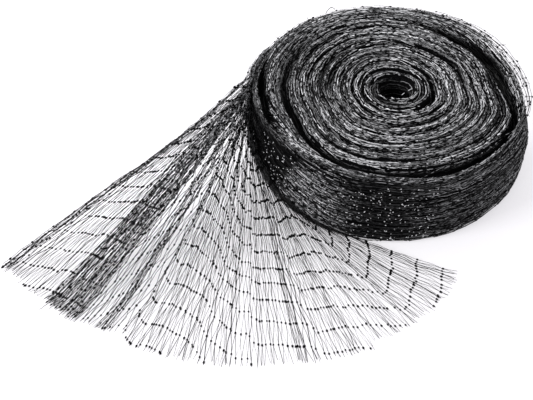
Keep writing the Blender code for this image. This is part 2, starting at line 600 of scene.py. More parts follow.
@dataclass(frozen=True)
class SlopePoint:
    """How a ray of the spread net comes down: height at the neck and travel at which it lands.

    Both are over the roll's radius.
    """

    angle: float
    neck: float
    landing: float


@dataclass(frozen=True)
class RowPoint:
    """How far the first row of knots lies inside the cut edge, over the roll's radius.

    Where it is negative, that row was cut off, and the next rows lie one bar further in each.
    """

    angle: float
    inset: float


@dataclass(frozen=True)
class BarPoint:
    """Bars of the spread net seen from above: share of their length, and slack towards the roll."""

    angle: float
    share: float
    slack: float


@dataclass(frozen=True)
class FoldPoint:
    """End of one stretch of the net's width: its angle, its degrees a knot, its layer and row shift.

    A stretch that ends at a smaller angle than it starts from runs back over the one before. The row
    shift says by how many bars its rows of knots have slipped from the rows of the lowest layer.
    """

    angle: float
    pitch: float
    layer: float
    slip: float = 0.0


@dataclass(frozen=True)
class ShinePoint:
    """Share of painted highlight on the wall's strands at one angle."""

    angle: float
    share: float


@dataclass(frozen=True)
class Stray:
    """Loose strand end: angle, radius and height of its two ends, its arch, and its share of painted
    highlight.

    Radii and heights are over the roll's radius, and the arch is its rise half way in millimetres.
    """

    start: tuple[float, float, float]
    end: tuple[float, float, float]
    arch: float
    tone: float


@dataclass(frozen=True)
class Pleat:
    """Gathered ridge along a ray: half width in degrees, height in millimetres, start and end.

    The start and the end are distances from the neck over the roll's radius.
    """

    angle: float
    width: float
    height: float
    start: float
    end: float


def make_table(kind: type[Entry], *values: tuple[float, ...]) -> tuple[Entry, ...]:
    """Build a table from tuples whose numbers stand in the order of the kind's fields."""
    return tuple(kind(*value) for value in values)


RIM = make_table(
    RimPoint,
    (0, 0.995, 0.0, 5.0), (20, 0.985, 0.0, 5.5), (45, 1.012, 0.0, 4.5), (70, 1.000, 0.0, 2.5),
    (120, 1.003, 0.0, 2.5), (150, 0.994, 0.0, 2.0), (175, 0.995, 0.0, 1.2), (188, 0.994, 0.0, 0.0),
    (215, 0.992, 0.0, 0.0), (250, 0.980, 0.5, 0.0), (270, 0.995, 2.0, 0.0), (290, 1.010, 5.0, 0.0),
    (305, 1.000, 4.5, 0.0), (325, 0.995, 2.0, 0.5), (345, 1.015, 0.0, 3.0),
)

WALL = make_table(
    WallPoint,
    (0, 1.005, 2.4), (25, 0.985, 1.5), (60, 0.972, 0.9), (270, 0.972, 0.9), (300, 0.976, 0.9),
    (317, 0.980, 1.2), (329, 0.997, 1.8), (340, 1.008, 2.2), (350, 1.010, 2.6),
)

COIL_GAP = make_table(
    GroovePoint,
    (0, 0.838, 4.0, 11.0), (25, 0.849, 4.5, 13.0), (45, 0.820, 4.0, 12.0), (65, 0.835, 3.0, 8.0),
    (95, 0.862, 2.0, 4.0), (112, 0.862, 1.8, 3.0), (130, 0.825, 2.2, 4.0), (150, 0.800, 3.0, 6.0),
    (168, 0.780, 3.0, 6.0), (195, 0.780, 2.8, 8.0), (208, 0.785, 3.0, 9.0), (225, 0.865, 2.4, 8.0),
    (238, 0.912, 2.8, 9.0), (253, 0.943, 3.4, 10.0), (290, 0.955, 2.2, 8.5), (320, 0.962, 2.2, 9.0),
    (338, 0.945, 2.8, 9.0), (349, 0.885, 3.2, 9.0),
)

LOOSE_GAP = make_table(
    GroovePoint,
    (152, 0.965, 1.6, 0.0), (163, 0.960, 2.2, 5.0), (175, 0.943, 3.0, 10.0),
    (190, 0.925, 3.4, 10.0), (205, 0.962, 2.6, 8.0), (216, 0.980, 2.0, 5.0), (223, 0.985, 1.8, 0.0),
)

EDGE = make_table(
    EdgePoint,
    (214.2, 2.13), (215.3, 2.14), (217.0, 2.10), (222.0, 2.10), (228.0, 2.08), (235.0, 2.09),
    (240.0, 2.06), (243.5, 2.03), (244.5, 2.00), (246.2, 2.06), (248.0, 2.10), (258.0, 2.10),
    (260.0, 2.12), (272.0, 2.12), (275.0, 2.10), (283.0, 2.13), (292.0, 2.12), (294.0, 2.08),
    (305.0, 2.05), (308.0, 2.02), (312.0, 2.02), (315.0, 1.97), (318.7, 1.92),
)

SLOPES = make_table(
    SlopePoint,
    (214.5, 0.665, 2.14), (225.0, 0.635, 2.06), (235.0, 0.590, 1.95), (242.0, 0.540, 1.75),
    (248.0, 0.500, 1.55), (265.0, 0.420, 1.20), (280.0, 0.380, 1.20), (300.0, 0.300, 1.40),
    (311.0, 0.240, 1.60), (318.7, 0.200, 1.85),
)

ROWS = make_table(
    RowPoint,
    (214.0, -0.600), (217.0, -0.520), (219.3, -0.470), (221.0, -0.420), (224.0, -0.370),
    (226.0, -0.335), (233.5, -0.335), (234.5, -0.240), (236.0, -0.155), (238.0, -0.100),
    (240.0, -0.035), (242.0, 0.040), (244.0, 0.040), (247.5, 0.020), (251.0, 0.050), (255.0, 0.000),
    (258.0, -0.045), (260.0, -0.110), (262.0, -0.205), (265.0, -0.280), (267.3, -0.346),
    (269.8, -0.345), (270.6, -0.420), (274.0, -0.460), (279.0, -0.485), (282.0, -0.490),
    (284.0, -0.580), (290.0, -0.590), (293.0, -0.650), (297.0, -0.740), (301.0, -0.840),
    (303.0, -0.925), (305.0, -0.900), (308.0, -0.845), (311.0, -0.790), (318.0, -0.730),
)

BARS = make_table(
    BarPoint,
    (214, 0.82, 0.10), (236, 0.84, 0.12), (246, 0.92, 0.30), (256, 0.96, 0.40), (275, 0.96, 0.40),
    (295, 0.93, 0.20), (318, 0.90, 0.10),
)

FOLDS = make_table(
    FoldPoint,
    (214.9, 0.30, 0, -0.8), (216.6, 0.42, 0, -0.5), (215.2, 0.60, 1, -0.2), (217.0, 0.50, 1),
    (221.5, 0.75, 0), (224.5, 0.65, 0), (235.6, 0.60, 0, 0.4), (227.6, 0.60, 1, 1.3),
    (236.2, 0.60, 2, 1.9), (239.6, 0.80, 0, 2.0), (242.0, 0.45, 0, 2.0), (240.2, 0.90, 1, 2.3),
    (242.4, 0.80, 2, 3.0), (246.8, 0.80, 0, 3.0), (247.8, 0.45, 0, 3.0), (250.0, 0.80, 0, 3.0),
    (252.0, 0.50, 0, 3.0), (257.9, 0.78, 0, 3.0), (259.0, 0.42, 0, 3.0), (262.8, 0.90, 0, 3.0),
    (265.3, 0.90, 0, 3.0), (266.4, 0.42, 0, 3.0), (268.2, 1.05, 0, 3.0), (270.4, 0.80, 0, 3.0),
    (278.5, 0.82, 0, 3.0), (280.4, 0.50, 0, 3.0), (282.7, 0.95, 0, 3.0), (286.0, 0.90, 0, 3.0),
    (290.6, 0.68, 0, 3.0), (298.0, 0.88, 0, 3.0), (303.5, 0.75, 0, 3.0), (308.3, 1.00, 0, 3.0),
    (311.3, 0.80, 0, 3.0), (316.2, 1.00, 0, 3.0), (318.7, 0.70, 0, 3.0),
)

# Painted highlight on the wall's strands by angle: most at the front left where the side lamp falls
WALL_SHINE = make_table(
    ShinePoint,
    (20, 0.60), (150, 0.50), (172, 0.10), (203, 0.08), (211, 0.60), (217, 1.00), (238, 1.00),
    (247, 0.50), (256, 0.06), (272, 0.07), (284, 0.34), (330, 0.42), (345, 0.70),
)

# A stray's last number is its share of painted highlight; over 1 it is white between its streaks too
STRAYS = (
    Stray((343.9, 0.166, 0.665), (299.8, 0.147, 0.665), 0.5, 4.0),
    Stray((116.0, 1.000, 0.670), (110.0, 1.060, 0.640), 3.0, 0.0),
    Stray((319.0, 0.990, 0.310), (322.5, 1.030, 0.270), 0.8, 0.0),
)

PLEATS = (
    Pleat(215.0, 2.2, 2.2, 0.9, 2.2),
    Pleat(242.0, 1.6, 1.0, 0.5, 2.1),
)

Row = RimPoint | WallPoint | GroovePoint | EdgePoint | SlopePoint | RowPoint | BarPoint | ShinePoint
Table = tuple[Row, ...]


def read_table(table: Table, column: str, angle: Array, closed: bool = False) -> Array:
    """Read one column of a table by angle.

    Args:
        table: rows in order of their angle.
        column: the field to read.
        angle: angles in degrees.
        closed: whether the table goes on from its last row to its first.

    Returns:
        The column's value at each angle.
    """
    angles = [row.angle for row in table]
    values = [getattr(row, column) for row in table]
    return np.interp(angle, angles, values, period=360 if closed else None)


def ease(share: Array) -> Array:
    """Ease shares from 0 to 1 with level ends, and hold them there outside."""
    return 0.5 - 0.5 * np.cos(np.pi * np.clip(share, 0.0, 1.0))


def turned(angle: Array) -> tuple[Array, Array]:
    """Cosine and sine of angles in degrees."""
    return np.cos(np.radians(angle)), np.sin(np.radians(angle))


@dataclass
class RollShape:
    """The wound net's surface, which the core, the strands and the spread net all follow."""

    axis: Array
    radius: float
    height: float
    hole_radius: float = 11.5 * MM
    hole_shift: Span = (3.5 * MM, -2.0 * MM)
    band_count: int = 9
    band_depth: float = 3.6 * MM
    band_sway: float = 0.35
    band_waves: int = 3
    band_twist: float = 5.0
    band_sharpness: float = 1.5
    fine_turns: int = 38
    fine_starts: int = 4
    fine_depth: float = 0.9 * MM
    hole_droop: float = 1.5 * MM
    rim_rounding: float = 2.2 * MM
    dent_angle: float = 8.0
    dent_depth: float = 4.0 * MM
    dent_radius: float = 0.3
    dent_width: float = 0.03
    dent_around: float = 1.6
    dent_least: float = 0.3
    droop_share: float = 0.12
    dark_from: float = 1.5 * MM
    dark_over: float = 5 * MM
    shift_reach: float = 0.6

    def rim(self, angle: Array) -> Array:
        """Rim radius at each angle."""
        return self.radius * read_table(RIM, "radius", angle, closed=True)

    def rim_height(self, angle: Array) -> Array:
        """Height of the outer turn's top at each angle."""
        return self.height - MM * read_table(RIM, "drop", angle, closed=True)

    def border(self, angle: Array) -> Array:
        """Width of the open border at each angle."""
        return MM * read_table(RIM, "border", angle, closed=True)

    def coil_edge(self, angle: Array) -> Array:
        """Radius of the tight coil, at the gap inside the loose outer turns."""
        return self.radius * read_table(COIL_GAP, "radius", angle, closed=True)

    def dip(self, gap: tuple[GroovePoint, ...], radius: Array, angle: Array) -> Array:
        """Depth of a gap between turns.

        Args:
            gap: the gap's table.
            radius: distances from the roll's axis.
            angle: angles in degrees.

        Returns:
            How far the top lies lower because of it.
        """
        angle, closed = angle % 360, gap is COIL_GAP
        middle = self.radius * read_table(gap, "radius", angle, closed)
        width = MM * read_table(gap, "width", angle, closed)
        depth = MM * read_table(gap, "depth", angle, closed)
        return depth * np.exp(-(((radius - middle) / width) ** 2))

    def lane_radius(self, lane: Array, angle: Array) -> Array:
        """Radius of a lane on the roll's top.

        Args:
            lane: 0 at the hole, 1 in the gap round the coil and 2 at the dense turns' rim.
            angle: angles in degrees.

        Returns:
            Distances from the roll's axis.
        """
        edge = self.coil_edge(angle)
        coil = self.hole_radius + np.clip(lane, 0, 1) * (edge - self.hole_radius)
        return coil + np.clip(lane - 1, 0, 1) * (self.rim(angle) - self.border(angle) - edge)

    def coil_top(self, share: Array, angle: Array) -> Array:
        """Height of the tight coil's top.

        Args:
            share: 0 at the hole's rim, 1 at the groove.
            angle: angles in degrees.

        Returns:
            Heights over the floor.
        """
        turns = share * self.band_count - angle / 360
        phase = np.radians(self.band_waves * angle) + self.band_twist * share
        depth = self.band_depth * (1 - self.band_sway * np.sin(phase))
        valley = (0.5 + 0.5 * np.cos(2 * np.pi * turns)) ** self.band_sharpness * depth
        fine = share * self.fine_turns - angle / 360 * self.fine_starts
        crease = (0.5 + 0.5 * np.cos(2 * np.pi * fine)) ** 2 * self.fine_depth
        droop = self.hole_droop * np.exp(-((share / self.droop_share) ** 2))
        return self.height - valley - crease - droop

    def top_height(self, radius: Array, angle: Array) -> Array:
        """Height of the roll's top at any radius between the hole and the rim.

        Args:
            radius: distances from the roll's axis.
            angle: angles in degrees.

        Returns:
            Heights over the floor.
        """
        share = (radius - self.hole_radius) / (self.coil_edge(angle) - self.hole_radius)
        coil = self.coil_top(np.clip(share, 0, 1), angle)
        crest = np.where(share < 1, coil, self.rim_height(angle))
        dips = self.dip(COIL_GAP, radius, angle) + self.dip(LOOSE_GAP, radius, angle)
        over = np.clip(radius - (self.rim(angle) - self.rim_rounding), 0, self.rim_rounding)
        corner = self.rim_rounding - np.sqrt(self.rim_rounding**2 - over**2)
        return crest - dips - corner - self.ring_dent(radius, angle)

    def light_share(self, radius: Array, angle: Array) -> Array:
        """Share of the light that reaches the top, which is less in gaps and between bands.

        Args:
            radius: distances from the roll's axis.
            angle: angles in degrees.

        Returns:
            Shares from 0 to 1.
        """
        crest = np.where(radius < self.coil_edge(angle), self.height, self.rim_height(angle))
        depth = crest - self.top_height(radius, angle)
        return 1 - ease((depth - self.dark_from) / self.dark_over)

    def ring_dent(self, radius: Array, angle: Array) -> Array:
        """Depth of the slack turns' dent, a dark crescent beside the hole.

        Args:
            radius: distances from the roll's axis.
            angle: angles in degrees.

        Returns:
            How far the top lies lower because of it.
        """
        facing = np.cos(np.radians(angle - self.dent_angle))
        side = ease(self.dent_around * facing - self.dent_least)
        off = (radius / self.radius - self.dent_radius) / self.dent_width
        return self.dent_depth * side * np.exp(-(off**2))

    def wall_radius(self, height: Array, angle: Array) -> Array:
        """Radius of the outer wall.

        Args:
            height: heights over the floor.
            angle: angles in degrees.

        Returns:
            Distances from the roll's axis.
        """
        level = np.clip(height / self.rim_height(angle), 0, 1)
        base = self.radius * read_table(WALL, "base", angle, closed=True)
        bulge = MM * read_table(WALL, "bulge", angle, closed=True)
        return base + (self.rim(angle) - base) * level + bulge * np.sin(np.pi * level)

    def place(self, radius: Array, angle: Array, height: Array) -> Array:
        """Places from radius, angle and height, the inner turns drawn to the hole's centre.

        Args:
            radius: distances from the roll's axis.
            angle: angles in degrees.
            height: heights over the floor.

        Returns:
            Places, with X, Y and Z last.
        """
        pull = 1 - ease((radius - self.hole_radius) / (self.shift_reach * self.radius))
        cosine, sine = turned(angle)
        x = self.axis[0] + radius * cosine + pull * self.hole_shift[0]
        y = self.axis[1] + radius * sine + pull * self.hole_shift[1]
        return np.stack([x, y, height + 0 * x], axis=-1)


@dataclass
class Strand:
    """Stations along one strand: distances, thickness over a plain strand's, knots, and its wobble."""

    along: Array
    girth: Array
    knot: Array
    sway: Array
    rise: Array


@dataclass
class StrandMaker:
    """Random strands of the net: knots a bar apart, and a waver between them."""

    bar: float = 20 * MM
    knot_half: float = 1.2 * MM
    knot_girth: float = 2.3
    stations: tuple[float, ...] = (0.3, 0.5, 0.7)
    station_girths: tuple[float, ...] = (0.92, 0.88, 0.92)
    girth_spread: float = 0.2
    sway: float = 0.32 * MM
    rise: float = 0.25 * MM
    waver_weights: Span = (0.3, 0.6)
    seed: int = 11

    def __post_init__(self) -> None:
        """Start the random numbers."""
        self.random = np.random.default_rng(self.seed)

    def waver(self, count: int, size: float) -> Array:
        """Smoothed random offsets.

        Args:
            count: how many.
            size: their rough size in metres.

        Returns:
            The offsets.
        """
        noise = self.random.normal(0, size, count + 2)
        side, middle = self.waver_weights
        return noise[:-2] * side + noise[1:-1] * middle + noise[2:] * side

    def strand(self, length: float) -> Strand:
        """Make one strand's stations.

        Args:
            length: its length in metres.

        Returns:
            The stations.
        """
        between = [share * self.bar for share in self.stations]
        offsets = np.array([-self.knot_half, 0, self.knot_half, *between])
        girths = np.array([1.0, self.knot_girth, 1.0, *self.station_girths])
        bars = int(length / self.bar) + 2
        phase = self.random.uniform(-self.bar, 0)
        along = (phase + np.arange(bars)[:, None] * self.bar + offsets).ravel()
        girth = np.tile(girths, bars)
        knot = np.tile(offsets == 0, bars)
        inside = (along > 0) & (along < length)
        along, girth = along[inside], girth[inside]
        girth = girth * self.random.uniform(1 - self.girth_spread, 1 + self.girth_spread)
        sway, rise = (self.waver(len(along), size) for size in (self.sway, self.rise))
        return Strand(along, girth, knot[inside], sway, rise)


@dataclass
class WoundNet:
    """The roll's pieces: the dark core of painted shade and the strands on its top, wall, hole and
    underside.
    """

    shape: RollShape
    strand: StrandFinish
    core: CoreFinish
    maker: StrandMaker
    # Radii of plain strands, by piece, and the lowest height of any
    top_radius: float = 0.23 * MM
    wall_strand_radius: float = 0.21 * MM
    border_radius: float = 0.17 * MM
    lowest: float = 1.0 * MM
    # The dark core, painted shade for the depth
    sink: float = 1.8 * MM
    core_steps: int = 240
    core_top_rings: int = 110
    core_wall_rings: int = 14
    core_wall_top: float = 0.96
    floor_gap: float = 0.6 * MM
    # The top
    top_count: int = 1720
    top_length: Span = (25 * MM, 120 * MM)
    top_lift: Span = (-1.6 * MM, 0.7 * MM)
    # Random spread of a top strand's painted highlight
    top_painted_highlight: Span = (0.7, 0.9)
    inner_length: float = 0.35
    crest_pull: float = 0.55
    last_lane: float = 1.98
    rim_inset: float = 0.2 * MM
    # The wall, and how its strands slide down towards the neck
    wall_count: int = 1080
    wall_length: Span = (30 * MM, 150 * MM)
    wall_lift: Span = (-1.0 * MM, 1.0 * MM)
    wall_sway: float = 1.8
    wall_slope: float = 0.035
    wall_from: float = 0.2 * MM
    wall_inset: float = 0.4 * MM
    wall_spill: float = 1.5 * MM
    # Random spread of a wall strand's painted highlight
    wall_painted_highlight: Span = (0.45, 0.7)
    foot_tuck: float = 1.3 * MM
    foot_height: float = 9 * MM
    slide_depth: float = 23 * MM
    slide_from: float = 190.0
    slide_over: float = 65.0
    # Where the wall's strands get painted highlights, and where painted shade keeps them black
    lit_from: float = 205.0
    lit_slant: float = 36.0
    lit_over: float = 8.0
    rim_share: float = 0.65
    rim_lit: float = 8 * MM
    rim_lit_over: float = 5 * MM
    dark_angle: float = 203.0
    dark_width: float = 14.0
    dark_share: float = 0.7
    # The pale specks, painted highlights
    glint_count: int = 620
    glint_angles: Span = (203.0, 286.0)
    glint_size: Span = (0.6 * MM, 1.0 * MM)
    glint_lift: float = 0.8 * MM
    glint_levels: Span = (0.04, 0.85)
    glint_turn: float = 0.4
    glint_tone: float = 0.75
    # The open border: where the dense turns stand back from it, its strands, stubs and stray ends
    border_from: float = 0.5
    border_over: float = 0.45
    border_count: int = 46
    border_knot: Span = (1.2 * MM, 1.9 * MM)
    border_length: Span = (80 * MM, 230 * MM)
    border_angles: Span = (-40.0, 170.0)
    border_reach: Span = (-1.0, 0.6)
    border_drop: float = 4.5 * MM
    border_sway: float = 1.5
    border_rise: float = 2.0
    # Painted highlight on the border's strands: its random spread and its strength
    border_painted_highlight: Span = (0.8, 1.1)
    border_tone: float = 0.35
    stub_length: float = 2.6 * MM
    stub_share: Span = (0.4, 1.1)
    stub_turn: float = 0.7
    stub_girths: tuple[float, float, float] = (1.0, 0.9, 0.8)
    least_run: float = 0.001 * MM
    stray_girth: float = 1.8
    stray_points: int = 7
    # The hole and the underside
    hole_count: int = 90
    hole_length: Span = (20 * MM, 60 * MM)
    hole_levels: Span = (1 * MM, 56 * MM)
    # Painted highlight share of the hole's strands
    hole_tone: float = 0.03
    under_count: int = 520
    under_length: Span = (40 * MM, 160 * MM)
    under_area: Span = (0.02, 0.9)
    under_rise: float = 0.4
    # Painted highlight share of the underside's strands
    under_tone: float = 0.2

    def border_back(self, level: Array, angle: Array) -> Array:
        """How far the dense turns stand back from the open border, at shares of the height."""
        return self.shape.border(angle) * ease((level - self.border_from) / self.border_over)

    def make_core(self) -> bpy.types.Object:
        """Loft the dark body of painted shade behind the strands, a little inside their surface.

        Returns:
            The closed ring, with a UV map in metres along and across the winding.
        """
        shape, steps = self.shape, self.core_steps
        angle = np.linspace(0, 360, steps, endpoint=False)
        rows = []
        for level in np.linspace(0, self.core_wall_top, self.core_wall_rings):
            height = self.floor_gap + level * (shape.rim_height(angle) - self.floor_gap)
            inset = self.sink + self.border_back(level, angle)
            rows.append((shape.wall_radius(height, angle) - inset, height))
        rim = shape.rim(angle) - self.sink - shape.border(angle)
        hole = shape.hole_radius + self.sink
        for share in np.linspace(1, 0, self.core_top_rings):
            radius = hole + (rim - hole) * share
            rows.append((radius, shape.top_height(radius, angle) - self.sink))
        rows.append((hole + 0 * angle, self.floor_gap + 0 * angle))
        places = np.stack([shape.place(radius, angle, height) for radius, height in rows])
        spans = [np.hypot(after[0] - before[0], after[1] - before[1]).mean()
                 for before, after in zip(rows, rows[1:] + rows[:1])]
        across = np.concatenate([[0.0], np.cumsum(spans)])
        along = np.linspace(0, 2 * np.pi * shape.radius, steps + 1)
        count = len(rows)
        faces, uv = [], []
        for ring in range(count):
            for step in range(steps):
                after, beyond = (step + 1) % steps, (ring + 1) % count
                faces.append((ring * steps + step, ring * steps + after,
                              beyond * steps + after, beyond * steps + step))
                for u, v in ((step, ring), (step + 1, ring), (step + 1, ring + 1), (step, ring + 1)):
                    uv += [along[u], across[v]]
        mesh = bpy.data.meshes.new("roll_core")
        mesh.from_pydata(places.reshape(-1, 3).tolist(), [], faces)
        mesh.uv_layers.new(name="winding").data.foreach_set("uv", uv)
        mesh.shade_smooth()
        mesh.materials.append(self.core.material())
        return add_object("roll_core", mesh)

    def finish(
        self, bundle: StrandBundle, name: str, radius: float, knot: Span
    ) -> bpy.types.Object:
        """Turn a bundle into a piece of the roll.

        Args:
            bundle: the strands.
            name: the piece's name.
            radius: the radius of a plain strand.
            knot: the width and length of a knot.

        Returns:
            The piece.
        """
        piece = bundle.guide(name)
        tree = StrandTree(self.strand.material(), radius, knot_width=knot[0], knot_length=knot[1])
        tree.apply(piece)
        return piece

    def make_top(self) -> bpy.types.Object:
        """Lay the strands of the turns' upper edges along the spiral.

        Returns:
            The piece.
        """
        shape, random = self.shape, self.maker.random
        bundle = StrandBundle()
        for _ in range(self.top_count):
            start = random.uniform(0, 360)
            reach = np.sqrt(random.uniform((shape.hole_radius / shape.radius) ** 2, 1)) * shape.radius
            edge, rim = float(shape.coil_edge(start)), float(shape.rim(start))
            inner = reach < edge
            lane = (reach - shape.hole_radius) / (edge - shape.hole_radius)
            if not inner:
                lane = 1 + (reach - edge) / (rim - edge)
            length = random.uniform(*self.top_length)
            length *= min(1.0, self.inner_length + reach / shape.radius)
            strand = self.maker.strand(length)
            angle = start + np.degrees(strand.along / reach)
            lanes = lane + 0 * angle
            if inner:
                crest = (lane * shape.fine_turns - start / 360 * shape.fine_starts) % 1 - 0.5
                lane -= self.crest_pull * crest / shape.fine_turns
                lanes = lane + (angle - start) / 360 * shape.fine_starts / shape.fine_turns
            radius = shape.lane_radius(np.clip(lanes, 0, self.last_lane), angle) + strand.sway
            radius = np.clip(radius, shape.hole_radius, shape.rim(angle) - self.rim_inset)
            height = shape.top_height(radius, angle) + random.uniform(*self.top_lift) + strand.rise
            # Painted highlight, dimmed by painted shade in the gaps and between the bands
            tone = random.beta(*self.top_painted_highlight) * shape.light_share(radius, angle)
            if len(angle) > 2:
                bundle.add_path(shape.place(radius, angle, height), strand.girth, tone)
        return self.finish(bundle, "roll_top_strands", self.top_radius, self.glint_size)

    def slid(self, angle: Array) -> Array:
        """Find how far the wall's strands have come down, where the last turn leaves.

        Args:
            angle: angles in degrees, also past a full turn.

        Returns:
            Heights in metres, negative downwards.
        """
        turns = np.floor(angle / 360)
        share = ease((angle - 360 * turns - self.slide_from) / self.slide_over)
        return -self.slide_depth * (turns + share)

    def wall_shine(self, angle: Array, height: Array) -> Array:
        """Share of painted highlight on the wall's strands, by where the lamps fall, with painted shade
        by the neck.

        Args:
            angle: angles in degrees.
            height: heights over the floor.

        Returns:
            Shares from 0 to 1.
        """
        around = angle % 360
        share = read_table(WALL_SHINE, "share", around, closed=True)
        lit_from = self.lit_from + self.lit_slant * height / self.shape.radius
        near_neck = (around > 180) & (around < 260)
        share = np.where(near_neck, share * ease((around - lit_from) / self.lit_over), share)
        # Painted highlight along the top of the wall, and painted shade beside the neck
        top = ease((height - self.shape.rim_height(angle) + self.rim_lit) / self.rim_lit_over)
        neck = np.exp(-(((around - self.dark_angle) / self.dark_width) ** 2))
        return np.maximum(share, self.rim_share * top * (1 - self.dark_share * neck))

    def make_wall(self) -> bpy.types.Object:
        """Wrap the strands of the outer turn round the wall.

        Returns:
            The piece.
        """
        shape, random = self.shape, self.maker.random
        bundle = StrandBundle()
        for _ in range(self.wall_count):
            middle = random.uniform(0, 360)
            strand = self.maker.strand(random.uniform(*self.wall_length))
            along = strand.along - strand.along.mean()
            angle = middle + np.degrees(along / shape.radius)
            level = random.uniform(self.wall_from, shape.height)
            level = level + random.normal(0, self.wall_slope) * along
            height = level + self.slid(angle) - self.slid(middle) + self.wall_sway * strand.sway
            top = shape.rim_height(angle) - self.wall_inset
            kept = (height > -self.wall_spill) & (height < top + self.wall_spill)
            angle, height = angle[kept], np.clip(height, self.lowest, top)[kept]
            if kept.sum() < 3:
                continue
            lift = random.uniform(*self.wall_lift) + strand.rise[kept]
            lift = lift - self.foot_tuck * (1 - ease(height / self.foot_height))
            back = self.border_back(height / shape.height, angle)
            points = shape.place(shape.wall_radius(height, angle) + lift - back, angle, height)
            # Painted highlight on the wall's strands, by angle and height
            tone = self.wall_shine(angle, height) * random.beta(*self.wall_painted_highlight)
            bundle.add_path(points, strand.girth[kept], tone)
        self.add_glints(bundle)
        return self.finish(bundle, "roll_wall_strands", self.wall_strand_radius, self.glint_size)

    def add_glints(self, bundle: StrandBundle) -> None:
        """Scatter small knots with painted highlights over the front of the wall, where they show as
        pale specks.

        Args:
            bundle: the wall's bundle.
        """
        shape, random = self.shape, self.maker.random
        angle = random.uniform(*self.glint_angles, self.glint_count)
        height = random.uniform(*self.glint_levels, self.glint_count) * shape.rim_height(angle)
        reach = shape.wall_radius(height, angle) + self.glint_lift
        cosine, sine = turned(angle)
        rise = random.normal(0, self.glint_turn, self.glint_count)
        run = np.stack([-sine, cosine, rise], axis=-1)
        bundle.add_knots(shape.place(reach, angle, height), run, self.glint_tone)

    def make_border(self) -> bpy.types.Object:
        """Let single strands with their knots and cut stubs stand off the rim, at the back and right.

        Returns:
            The piece.
        """
        shape, random = self.shape, self.maker.random
        bundle = StrandBundle()
        for _ in range(self.border_count):
            strand = self.maker.strand(random.uniform(*self.border_length))
            angle = random.uniform(*self.border_angles) + np.degrees(strand.along / shape.radius)
            off = random.uniform(*self.border_reach) * shape.border(angle)
            off = off + self.border_sway * strand.sway
            height = shape.height - abs(random.normal(0, self.border_drop))
            height = height + self.border_rise * strand.rise
            points = shape.place(shape.rim(angle) + off, angle, height)
            tone = self.border_tone * random.beta(*self.border_painted_highlight)
            bundle.add_path(points, strand.girth, tone)
            for knot in np.flatnonzero(strand.knot):
                ahead = points[min(knot + 1, len(points) - 1)] - points[knot]
                bundle.add_knots(points[knot:knot + 1], ahead[None] + [[0, 0, self.least_run]])
                out = points[knot] - [*shape.axis, points[knot][2]]
                out = out / np.linalg.norm(out) + random.normal(0, self.stub_turn, 3)
                reach = self.stub_length * random.uniform(*self.stub_share) / np.linalg.norm(out)
                stub = points[knot] + np.outer([0, 0.5, 1], out) * reach
                bundle.add_path(stub, np.array(self.stub_girths), 0.0)
        for stray in STRAYS:
            self.add_stray(bundle, stray)
        return self.finish(bundle, "roll_border_strands", self.border_radius, self.border_knot)

    def add_stray(self, bundle: StrandBundle, stray: Stray) -> None:
        """Add one loose strand end.

        Args:
            bundle: the bundle that takes it.
            stray: where it goes.
        """
        ends = []
        for angle, radius, height in (stray.start, stray.end):
            cosine, sine = turned(angle)
            flat = self.shape.axis + radius * self.shape.radius * np.array([cosine, sine])
            ends.append(np.array([*flat, height * self.shape.radius]))
        share = np.linspace(0, 1, self.stray_points)
        points = ends[0] + np.outer(share, ends[1] - ends[0])
        points[:, 2] += stray.arch * MM * np.sin(np.pi * share)
        bundle.add_path(points, np.full(len(share), self.stray_girth), stray.tone)

    def make_inside(self) -> bpy.types.Object:
        """Line the hole and the underside with strands.

        Returns:
            The piece.
        """
        shape, random = self.shape, self.maker.random
        bundle = StrandBundle()
        for _ in range(self.hole_count):
            strand = self.maker.strand(random.uniform(*self.hole_length))
            angle = random.uniform(0, 360) + np.degrees(strand.along / shape.hole_radius)
            height = random.uniform(*self.hole_levels) + strand.sway
            height = np.clip(height, self.lowest, self.hole_levels[1])
            radius = shape.hole_radius + strand.rise
            bundle.add_path(shape.place(radius, angle, height), strand.girth, self.hole_tone)
        for _ in range(self.under_count):
            reach = np.sqrt(random.uniform(*self.under_area)) * shape.radius
            strand = self.maker.strand(random.uniform(*self.under_length))
            angle = random.uniform(0, 360) + np.degrees(strand.along / reach)
            radius = np.clip(reach + strand.sway, shape.hole_radius, None)
            height = self.lowest + self.under_rise * np.abs(strand.rise)
            bundle.add_path(shape.place(radius, angle, height), strand.girth, self.under_tone)
        return self.finish(bundle, "roll_inner_strands", self.top_radius, self.glint_size)


